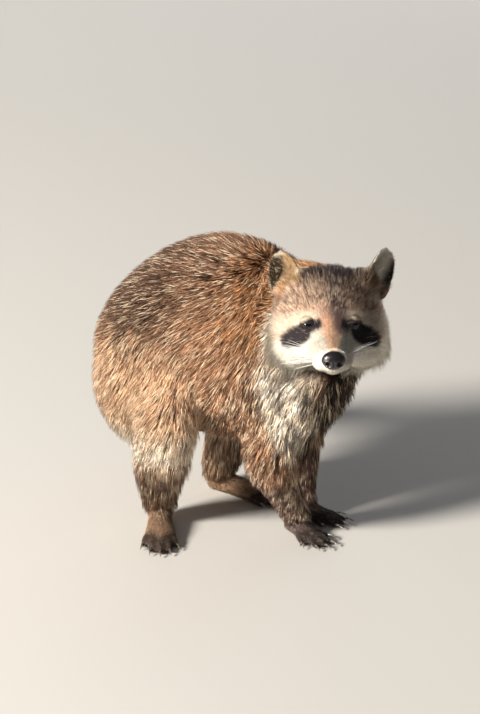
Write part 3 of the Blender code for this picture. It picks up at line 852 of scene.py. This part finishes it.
def add_bump(tree, shader, scale, distance, detail=3.0, stretch=(1.0, 1.0, 1.0)):
    """Fine relief from noise in the object's own space; returns the noise."""
    where = add_node(tree, "TexCoord").outputs["Object"]
    place = add_node(tree, "Mapping", Vector=where, Scale=stretch).outputs["Vector"]
    noise = add_node(tree, "TexNoise", Vector=place, Scale=scale, Detail=detail).outputs["Fac"]
    bump = add_node(tree, "Bump", Height=noise, Distance=distance, Strength=1.0)
    feed(tree, shader, Normal=bump.outputs["Normal"])
    return noise


def tinted_material(name, variation, scale, **inputs):
    """A material that takes its colour from the mesh's own tint, varied by noise."""
    material, tree, shader = new_material(name, **inputs)
    tint = add_node(tree, "Attribute")
    tint.attribute_name = "tint"
    where = add_node(tree, "TexCoord").outputs["Object"]
    noise = add_node(tree, "TexNoise", Vector=where, Scale=scale).outputs["Fac"]
    spread = add_node(tree, "MapRange", Value=noise, From_Min=0.3, From_Max=0.7,
                      To_Min=1.0 - variation, To_Max=1.0 + variation).outputs["Result"]
    shade = add_node(tree, "VectorMath", "SCALE", Vector=tint.outputs["Color"], Scale=spread)
    feed(tree, shader, Base_Color=shade.outputs["Vector"])
    return material, tree, shader


def fur_material():
    return tinted_material("fur", 0.10, 260.0, Roughness=0.62, Specular_IOR_Level=0.12)[0]


def skin_material():
    material, tree, shader = tinted_material(
        "furred_skin", 0.22, 900.0, Roughness=0.8, Specular_IOR_Level=0.10,
    )
    add_bump(tree, shader, 1400.0, 0.0004)
    return material


def nose_material():
    material, tree, shader = new_material(
        "nose_leather", Roughness=0.28, Coat_Weight=0.35,
        Base_Color=(0.012, 0.009, 0.011, 1.0),
    )
    add_bump(tree, shader, 1500.0, 0.00022, detail=1.5)
    return material


def add_ramp(tree, source, shader, stops):
    """Colours the shader by a ramp of stops, each a place and a colour."""
    ramp = add_node(tree, "ValToRGB", Fac=source)
    elements = ramp.color_ramp.elements
    while len(elements) < len(stops):
        elements.new(0.5)
    for element, (place, colour) in zip(elements, stops):
        element.position = place
        element.color = (*colour, 1.0)
    feed(tree, shader, Base_Color=ramp.outputs["Color"])


def claw_material():
    material, tree, shader = new_material("claw_horn", Roughness=0.34, Coat_Weight=0.2)
    noise = add_bump(tree, shader, 300.0, 0.0001, stretch=(1.0, 1.0, 4.0))
    stops = ((0.0, (0.08, 0.062, 0.050)), (1.0, (0.30, 0.25, 0.20)))
    add_ramp(tree, noise, shader, stops)
    return material


def eye_material():
    """Dark brown iris and black pupil under a clear wet coat, round the eye's own axis."""
    material, tree, shader = new_material(
        "eye_wet", Roughness=0.10, Coat_Weight=0.35, Coat_Roughness=0.02,
        Specular_IOR_Level=0.30,
    )
    where = add_node(tree, "TexCoord").outputs["Object"]
    scale = (1.0 / EYE_RADIUS, 1.0 / EYE_RADIUS, 0.0)
    across = add_node(tree, "Mapping", Vector=where, Scale=scale).outputs["Vector"]
    length = add_node(tree, "VectorMath", "LENGTH", Vector=across)
    stops = ((0.0, (0.001, 0.001, 0.001)), (0.40, (0.001, 0.001, 0.001)),
             (0.46, (0.022, 0.010, 0.005)), (0.70, (0.012, 0.006, 0.003)),
             (0.78, (0.003, 0.002, 0.002)), (1.0, (0.012, 0.009, 0.008)))
    add_ramp(tree, length.outputs["Value"], shader, stops)
    return material


def give(thing, material, body="root"):
    thing.data.materials.clear()
    thing.data.materials.append(material)
    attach(thing, body)


def set_tint(mesh, colours):
    layer = mesh.attributes.new("tint", "FLOAT_COLOR", "POINT")
    four = np.ones((len(colours), 4), dtype=np.float32)
    four[:, :3] = colours
    layer.data.foreach_set("color", four.ravel())


# ---------------- the skin


def thickness(skin):
    """How thick the body is under each point."""
    tree = skin.search_tree()
    result = np.full(len(skin.points), 0.1)
    for i, (point, normal) in enumerate(zip(skin.points, skin.normals())):
        distance = tree.ray_cast(point - normal * 0.0004, -normal)[3]
        if distance is not None:
            result[i] = distance
    return result


def lighten_hidden(thing, hidden):
    """Thins out the skin's mesh where the coat is deep enough to hide it."""
    group = thing.vertex_groups.new(name="hidden")
    group.add(np.flatnonzero(hidden).tolist(), 1.0, "REPLACE")
    lighter = thing.modifiers.new("lighter", "DECIMATE")
    lighter.ratio = 1.0 - (1.0 - HIDDEN_SHARE) * float(np.mean(hidden))
    lighter.vertex_group = "hidden"
    apply_modifiers(thing)


def shrink(skin):
    """Draws the skin in by the depth of the coat."""
    depth = skin.styles[:, DEPTH] * 0.001
    depth = np.minimum(depth, THIN_SHARE * skin.blur(thickness(skin), 8))
    depth = skin.blur(depth, 10)
    softness = np.clip(depth / 0.010, 0.0, 1.0)
    for _ in range(SHRINK_STEPS):
        skin.points -= skin.normals() * (depth / SHRINK_STEPS)[:, None]
        skin.smooth(3, softness)


def make_skin():
    """Makes the skin's object; returns its surface with what the coat needs to know of it."""
    thing = make_skin_mesh()
    skin = Surface(thing.data)
    skin.smooth(6, 0.6)
    skin.find_nodes()
    skin.styles = make_styles(skin, local(skin.points))
    hull = skin.points.copy()
    shrink(skin)
    skin.colours = coat_colours(skin)
    normals = skin.normals()
    flow = unit(skin.blur(lie_of_coat(skin, normals), int(0.008 / VOXEL) * 4))
    skin.flow = laid_on(normals, flow)
    skin.points, rim = shape_lids(skin.points)
    skin.points, seat = shape_nose_seat(skin.points)
    skin.points, groove = shape_mouth(skin.points, skin.normals())
    skin.points[:, 2] = np.maximum(skin.points[:, 2], FLOOR_GAP)
    skin.depth = np.linalg.norm(hull - skin.points, axis=1)
    skin.bare = np.maximum(ease(rim, 0.0012, 0.0006), ease(groove, 0.5, 0.8))
    skin.bare = np.maximum(skin.bare, ease(seat, 0.02, 0.2))
    skin.tree = skin.search_tree()
    thing.data.vertices.foreach_set("co", skin.points.ravel())
    # Skin darkened where the coat is deep: painted shade under the hair
    shade = skin.blur(np.where(skin.styles[:, DEPTH] > 3.0, 0.45, 0.8), 6)
    dark = np.maximum(ease(rim, 0.0012, 0.0004), 0.85 * ease(groove, 0.25, 0.8))
    dark = np.maximum(dark, ease(seat, 0.05, 0.5))
    set_tint(thing.data, mix(skin.colours * shade[:, None], HAIR["skin"], dark))
    lighten_hidden(thing, skin.styles[:, DEPTH] > HIDING_DEPTH)
    thing.data.shade_smooth()
    give(thing, skin_material())
    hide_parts(*FLESH)
    return skin


# ---------------- tufts


# Where along a tuft its rings and its point stand
STRAIGHT = (0.0, 1.0)
BENT = (0.0, 0.45, 1.0)
LONG = (0.0, 0.36, 0.70, 1.0)

# Pieces of coat: the nodes each covers, the side of the animal where it is halved, and how
# its tufts are divided
COAT_PIECES = {
    "coat_face_right": (FACE, "right", STRAIGHT),
    "coat_face_left": (FACE, "left", STRAIGHT),
    "coat_ears": (("ear_",), None, STRAIGHT),
    "coat_neck": (("neck",), None, BENT),
    "coat_chest_right": (("chest",), "right", BENT),
    "coat_chest_left": (("chest",), "left", BENT),
    "coat_belly": (("belly",), None, BENT),
    "coat_rump": (("rump",), None, BENT),
    "coat_thigh_right": (("thigh_right",), None, BENT),
    "coat_thigh_left": (("thigh_left",), None, BENT),
    "coat_arm_right": (("upper_arm_right", "forearm_right"), None, LONG),
    "coat_arm_left": (("upper_arm_left", "forearm_left"), None, BENT),
    "coat_shanks": (("shank",), None, BENT),
    "coat_feet": (FEET, None, STRAIGHT),
    "coat_tail": (("tail",), None, BENT),
}
UV_PATCH = 0.003                 # height of a tuft's own patch in the UV map
LOCK_SIZE = 10                   # tufts to a lock, on average
ROOT_DEPTH = 0.0005              # tufts start this far under the skin
SWING = 0.20                     # how far a tuft strays from the lie of the coat, in radians
STAND_OUT = 0.0020               # how far a tip may stand out of the solids, or more by depth


def piece_triangles(skin, starts, side):
    """Triangles of the skin under one piece of coat."""
    corners = skin.triangles[:, 0]
    mine = skin.on(*starts)[corners] > 0.0
    if side:
        places = skin.points[corners]
        left = local(places)[:, 1] if "head" in starts else places[:, 0] - middle("belly")[0]
        mine &= left * SIDES[side] >= 0.0
    return skin.triangles[mine]


def unwrap(points, triangles):
    """The skin's patch laid flat by Blender's own unwrap: one place for each corner."""
    used, corners = np.unique(triangles, return_inverse=True)
    mesh = bpy.data.meshes.new("patch")
    mesh.from_pydata(points[used].tolist(), [], corners.reshape(-1, 3).tolist())
    patch = add_object("patch", mesh)
    bpy.context.view_layer.objects.active = patch
    patch.select_set(True)
    bpy.ops.object.mode_set(mode="EDIT")
    bpy.ops.mesh.select_all(action="SELECT")
    bpy.ops.uv.smart_project(angle_limit=math.radians(70), island_margin=0.004)
    bpy.ops.object.mode_set(mode="OBJECT")
    flat = read(mesh.uv_layers[0].data, "uv", 2)
    bpy.data.objects.remove(patch, do_unlink=True)
    return flat.reshape(-1, 3, 2)


def pick_roots(skin, triangles):
    """Evenly strewn roots: the triangle of each and its place inside it."""
    a, b, c = (skin.points[triangles[:, i]] for i in range(3))
    area = np.linalg.norm(np.cross(b - a, c - a), axis=1) / 2
    wanted = skin.styles[:, DENSITY] * (1.0 - skin.bare)
    weight = area * 1e4 * wanted[triangles].mean(axis=1) * TUFT_SHARE
    count = int(weight.sum())
    steps = np.cumsum(weight) / weight.sum()
    picks = (np.arange(count) + RANDOM.random(count)) / count
    chosen = np.minimum(np.searchsorted(steps, picks), len(triangles) - 1)
    first = np.sqrt(RANDOM.random(count))
    second = RANDOM.random(count)
    shares = np.stack([1 - first, first * (1 - second), first * second], axis=1)
    return chosen, shares


def gather_locks(roots, tips, strength):
    """Draws the tips of neighbouring tufts together into locks; returns each tuft's lock."""
    count = max(len(roots) // LOCK_SIZE, 1)
    leaders = RANDOM.choice(len(roots), count, replace=False)
    tree = places_tree(roots[leaders])
    lock = np.array([tree.find(root)[1] for root in roots])
    pull = strength[:, None] * RANDOM.uniform(0.6, 1.1, (len(roots), 1))
    return tips + (tips[leaders[lock]] - tips) * np.clip(pull, 0.0, 0.9), lock


HULL = solids_tree(FLESH)[0]


def outside_of(tree, place):
    """How far a place lies outside a closed mesh, and which way is out there."""
    near, normal, _, _ = tree.find_nearest(place)
    return (Vector(place) - near).dot(normal), np.array(normal)


def keep_inside(roots, tips, spare):
    """Shortens tufts whose tips would stand more than spare outside the solids."""
    share = np.ones(len(tips))
    for i, (root, tip) in enumerate(zip(roots, tips)):
        for _ in range(3):
            if outside_of(HULL, root + (tip - root) * share[i])[0] <= spare[i]:
                break
            share[i] *= 0.72
    return share


def lift_tips(skin, tips, height):
    """Raises tips that would dip into the skin where it turns outward, as over an ankle."""
    for i, tip in enumerate(tips):
        above, out = outside_of(skin.tree, tip)
        if above < height[i]:
            tips[i] += out * (height[i] - above)
    return tips


def make_coat_piece(name, skin, triangles, stations):
    """One piece of coat: every tuft a thin closed blade that follows the lie of the hair."""
    flat = unwrap(skin.points, triangles)
    chosen, shares = pick_roots(skin, triangles)
    count = len(chosen)

    def at_roots(values):
        return np.einsum("ij,ijk->ik", shares, values[triangles[chosen]])

    spots = np.einsum("ij,ijk->ik", shares, flat[chosen])
    normals = unit(at_roots(skin.normals()))
    flow = laid_on(normals, at_roots(skin.flow))
    styles = at_roots(skin.styles)
    depth = at_roots(skin.depth[:, None])[:, 0]
    length = styles[:, LENGTH] * 0.001 * RANDOM.uniform(0.65, 1.15, count)
    width = styles[:, HALF_WIDTH] * 0.001 * RANDOM.uniform(0.75, 1.25, count)
    swing = RANDOM.normal(0.0, SWING, count)[:, None]
    flow = unit(flow + np.cross(normals, flow) * swing)
    side = unit(np.cross(normals, flow))
    roots = at_roots(skin.points) - normals * ROOT_DEPTH
    rise = np.maximum(depth * RANDOM.uniform(0.80, 1.30, count), 0.10 * length)
    hang = styles[:, HANG][:, None]
    lie = unit(flow * (1.0 - hang) + DOWNWARD * hang)
    tips = roots + lie * length[:, None] + normals * (rise * 0.92)[:, None]
    tips = lift_tips(skin, tips, 0.8 * rise)
    tips, lock = gather_locks(roots, tips, styles[:, LOCKS])
    share = keep_inside(roots, tips, STAND_OUT + 0.12 * depth + 0.02 * styles[:, HANG])
    span = (tips - roots) * share[:, None]
    bulge = (rise * 0.34 * share)[:, None] * normals
    wave = side * (length * RANDOM.normal(0.0, 0.035, count))[:, None]
    centers = np.stack(
        [roots + span * t + bulge * (4 * t * (1 - t)) + wave * math.sin(math.tau * t)
         for t in stations], axis=1,
    )
    colours = tuft_colours(at_roots(skin.colours), styles, lock, stations)
    piece = blades(name, centers, side, normals, width, colours, spots)
    give(piece, FUR)


def tuft_colours(base, styles, lock, stations):
    """Banded hair: dark at the root, light in the middle, with a dark or a pale tip; long tufts
    darker still at the root, partly dark underfur and partly painted shade deep in the coat.
    """
    count = len(base)
    long = ease(styles[:, LENGTH], 8.0, 22.0)
    shade = np.exp(RANDOM.normal(0.0, 0.14 + 0.12 * long, count))
    lock_shade = np.exp(RANDOM.normal(0.0, 0.20, lock.max() + 1))[lock]
    base = base * (shade * (1.0 + (lock_shade - 1.0) * long))[:, None]
    alike = RANDOM.random(count) < 0.10 + 0.85 * styles[:, LOCKS]
    chance = np.where(alike, RANDOM.random(lock.max() + 1)[lock], RANDOM.random(count))
    pale = chance < styles[:, PALE]
    dark = chance > 1.0 - styles[:, DARK]
    band = mix(base, PALE_HAIR, 0.55 * pale)
    band = mix(band, DARK_HAIR, 0.45 * dark)
    tip = mix(base, PALE_HAIR, 0.75 * pale)
    tip = mix(tip, DARK_HAIR, 0.85 * dark)
    # Long tufts darkened at the root: partly dark underfur, partly painted shade deep in the
    # coat
    root = mix(base, band, 0.6 * (1.0 - long)) * (1.0 - 0.50 * long)[:, None]
    rows = []
    for t in stations:
        low = mix(root, band, min(t / 0.4, 1.0))
        rows.append(mix(low, tip, max((t - 0.45) / 0.55, 0.0)))
    return np.clip(np.stack(rows, axis=1), 0.004, 0.97)


def blade_faces(rings):
    """A blade's faces, each corner as its station and its place round the ring there."""
    faces = []
    for j in range(rings):
        for i in range(3):
            face = [(j, i), (j, i + 1), (j + 1, i + 1), (j + 1, i)]
            faces.append(face if j < rings - 1 else face[:2] + face[3:])
    return faces + [[(0, 2), (0, 1), (0, 0)]]


def blades(name, centers, side, out, width, colours, spots):
    """A mesh of closed three-sided blades through the centres, each ending in a point."""
    count, stations = centers.shape[:2]
    rings = stations - 1
    each = rings * 3 + 1
    taper = np.interp(np.linspace(0, 1, stations)[:rings], [0.0, 0.35, 1.0], [0.85, 1.0, 0.25])
    half = (width[:, None] * taper)[..., None]
    across = side[:, None, :] * half
    raised = out[:, None, :] * half * 0.8
    body = centers[:, :rings]
    ring = np.stack([body + across, body + raised, body - across], axis=2)
    points = np.concatenate([ring.reshape(count, -1, 3), centers[:, -1:]], axis=1)
    points[..., 2] = np.maximum(points[..., 2], FLOOR_GAP)
    faces = blade_faces(rings)
    station, corner = np.concatenate(faces).T
    loops = np.minimum(station * 3 + corner % 3, each - 1)
    every = (loops + (np.arange(count) * each)[:, None]).ravel()
    totals = np.tile([len(face) for face in faces], count)
    starts = np.concatenate([[0], np.cumsum(totals)[:-1]])
    mesh = bpy.data.meshes.new(name)
    mesh.vertices.add(count * each)
    mesh.vertices.foreach_set("co", points.ravel())
    mesh.loops.add(len(every))
    mesh.loops.foreach_set("vertex_index", every.astype(np.int32))
    mesh.polygons.add(len(totals))
    mesh.polygons.foreach_set("loop_start", starts.astype(np.int32))
    mesh.update(calc_edges=True)
    tint = [np.repeat(colours[:, :rings], 3, axis=1), colours[:, -1:]]
    set_tint(mesh, np.concatenate(tint, axis=1).reshape(-1, 3))
    layer = mesh.uv_layers.new(name="OFBake")
    patch = np.stack([(corner - 1) * 0.3, station / rings - 0.5], axis=1) * UV_PATCH
    places = np.clip(spots[:, None, :] + patch, 0.0, 1.0)
    layer.data.foreach_set("uv", places.astype(np.float32).ravel())
    mesh.shade_smooth()
    return add_object(name, mesh)


def make_coat(skin):
    for name, (starts, side, stations) in COAT_PIECES.items():
        make_coat_piece(name, skin, piece_triangles(skin, starts, side), stations)


# ---------------- nose, eyes, whiskers


WHISKER_HALF_WIDTH = 0.00032


def make_nose():
    """The bare pad with two nostrils and the groove between them."""
    bm = bmesh.new()
    bmesh.ops.create_icosphere(bm, subdivisions=6, radius=1.0)
    for vertex in bm.verts:
        front, across, height = -vertex.co.y, vertex.co.x, vertex.co.z
        wide = NOSE_HALF_WIDTH * (1.0 - 0.16 * max(-height, 0.0))
        forward = front * 7.6 - 0.4
        left = across * wide
        up = height * NOSE_HALF_HEIGHT + NOSE_RISE
        facing = min(max(front, 0.0) * 2.5, 1.0)
        for sign in SIDES.values():
            from_pit = math.hypot(left - sign * 5.2, up + 0.6)
            pit = math.exp(-((from_pit / 2.0) ** 2))
            slit = math.exp(-(((left - sign * 8.2) / 2.6) ** 2 + ((up + 2.4) / 0.9) ** 2))
            rim = math.exp(-(((from_pit - 3.2) / 0.9) ** 2))
            forward += (0.5 * rim - 3.8 * pit - 1.6 * slit) * facing
        below = float(ease(up, 3.0, -1.0))
        forward -= 0.9 * math.exp(-((left / 0.55) ** 2)) * below * facing
        vertex.co = HEAD @ at(forward, left, up)
    nose = object_of(bm, "nose_pad")
    nose.data.shade_smooth()
    give(nose, nose_material())
    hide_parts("nose")


def make_eye(side):
    """A ball with a slight bulge of cornea on the side that looks out."""
    bm = bmesh.new()
    bmesh.ops.create_uvsphere(bm, u_segments=48, v_segments=32, radius=EYE_RADIUS)
    for vertex in bm.verts:
        share = ease(vertex.co.z / EYE_RADIUS, 0.72, 1.0)
        vertex.co.z += 0.0006 * float(share)
    eye = object_of(bm, f"eyeball_{side}")
    eye.data.shade_smooth()
    point_at(eye, middle(f"eye_{side}"), gaze(side)[0])
    give(eye, EYE)
    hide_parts(f"eye_{side}")


def make_whiskers():
    """Long stiff white hairs from the lips, sixteen on each side."""
    droop = np.array([-5.0, 0.0, -5.0])
    lines = []
    for sign, row, place in itertools.product(SIDES.values(), range(4), range(4)):
        start = np.array([-11.0 - 4.4 * place, 14.5 + 2.0 * place, 2.0 - 3.0 * row])
        way = np.array([-0.45 - 0.08 * place, 1.0, 0.22 - 0.17 * row])
        way = unit(way + RANDOM.normal(0.0, 0.06, 3))
        reach = RANDOM.uniform(28.0, 44.0)
        spots = [start + way * reach * t + droop * t ** 2 for t in np.linspace(0.0, 1.0, 7)]
        lines.append([HEAD @ at(forward, left * sign, up) for forward, left, up in spots])
    lines = np.array(lines)
    count, stations = lines.shape[:2]
    whiskers = blades(
        "whiskers", lines, np.tile(toward(1, 0, 0), (count, 1)),
        np.tile(toward(0, 0, 1), (count, 1)), np.full(count, WHISKER_HALF_WIDTH),
        np.full((count, stations, 3), 0.90), np.full((count, 2), 0.5),
    )
    give(whiskers, FUR)


def finish_claws():
    material = claw_material()
    for name, node in NODES.items():
        if name.startswith("claw"):
            node.data.materials.clear()
            node.data.materials.append(material)
            smooth = node.modifiers.new("round", "SUBSURF")
            smooth.levels = 2
            smooth.render_levels = 2
            node.data.shade_smooth()


# ---------------- floor, light, camera


def make_floor():
    bm = bmesh.new()
    bmesh.ops.create_grid(bm, x_segments=1, y_segments=1, size=6.0)
    floor = object_of(bm, "floor")
    material = new_material("pale_floor", Roughness=0.85, Base_Color=(0.60, 0.585, 0.56, 1.0))
    floor.data.materials.append(material[0])


# Columns: the picture's right, its up and the way back to the camera
PICTURE = (rotation(VIEW_AZIMUTH, "Z") @ rotation(90.0 - VIEW_ELEVATION, "X")).to_3x3()


def make_camera():
    """Places the camera and returns the place that it looks at."""
    aim = middle("nose") + PICTURE @ Vector(AIM)
    data = bpy.data.cameras.new("camera")
    data.sensor_width = 36.0
    data.lens = 36.0 * VIEW_DISTANCE / PICTURE_HEIGHT
    camera = add_object("camera", data)
    place = PICTURE.to_4x4()
    place.translation = aim + PICTURE @ Vector((0.0, 0.0, VIEW_DISTANCE))
    camera.matrix_world = place
    bpy.context.scene.camera = camera
    return aim


def make_light(name, aim, direction, distance, size, power, colour=(1.0, 1.0, 1.0)):
    """A round lamp in a direction given as right, up and back in the picture."""
    way = PICTURE @ Vector(direction)
    data = bpy.data.lights.new(name, "AREA")
    data.shape = "DISK"
    data.size = size
    data.energy = power
    data.color = colour
    point_at(add_object(name, data), aim + way.normalized() * distance, way)


def make_studio(aim):
    make_light("key", aim, (-0.95, 0.25, 0.66), 5.0, 1.2, 640.0, (1.0, 0.94, 0.85))
    make_light("fill", aim, (-0.4, 0.5, 1.0), 3.0, 2.4, 3.5, (0.92, 0.96, 1.0))
    make_light("rim", aim, (-0.2, 0.9, -0.9), 3.6, 2.0, 18.0)
    make_light("behind", aim, (0.55, 0.50, -1.0), 4.0, 2.6, 50.0, (0.96, 0.98, 1.0))
    world = bpy.data.worlds.new("studio")
    bpy.context.scene.world = world
    world.use_nodes = True
    background = world.node_tree.nodes["Background"]
    background.inputs["Color"].default_value = (0.95, 0.96, 1.0, 1.0)
    background.inputs["Strength"].default_value = 0.12
    bpy.context.scene.view_settings.view_transform = "Standard"


# ---------------- all together


make_floor()
make_studio(make_camera())
FUR = fur_material()
EYE = eye_material()
make_coat(make_skin())
make_nose()
for eye_side in SIDES:
    make_eye(eye_side)
make_whiskers()
finish_claws()
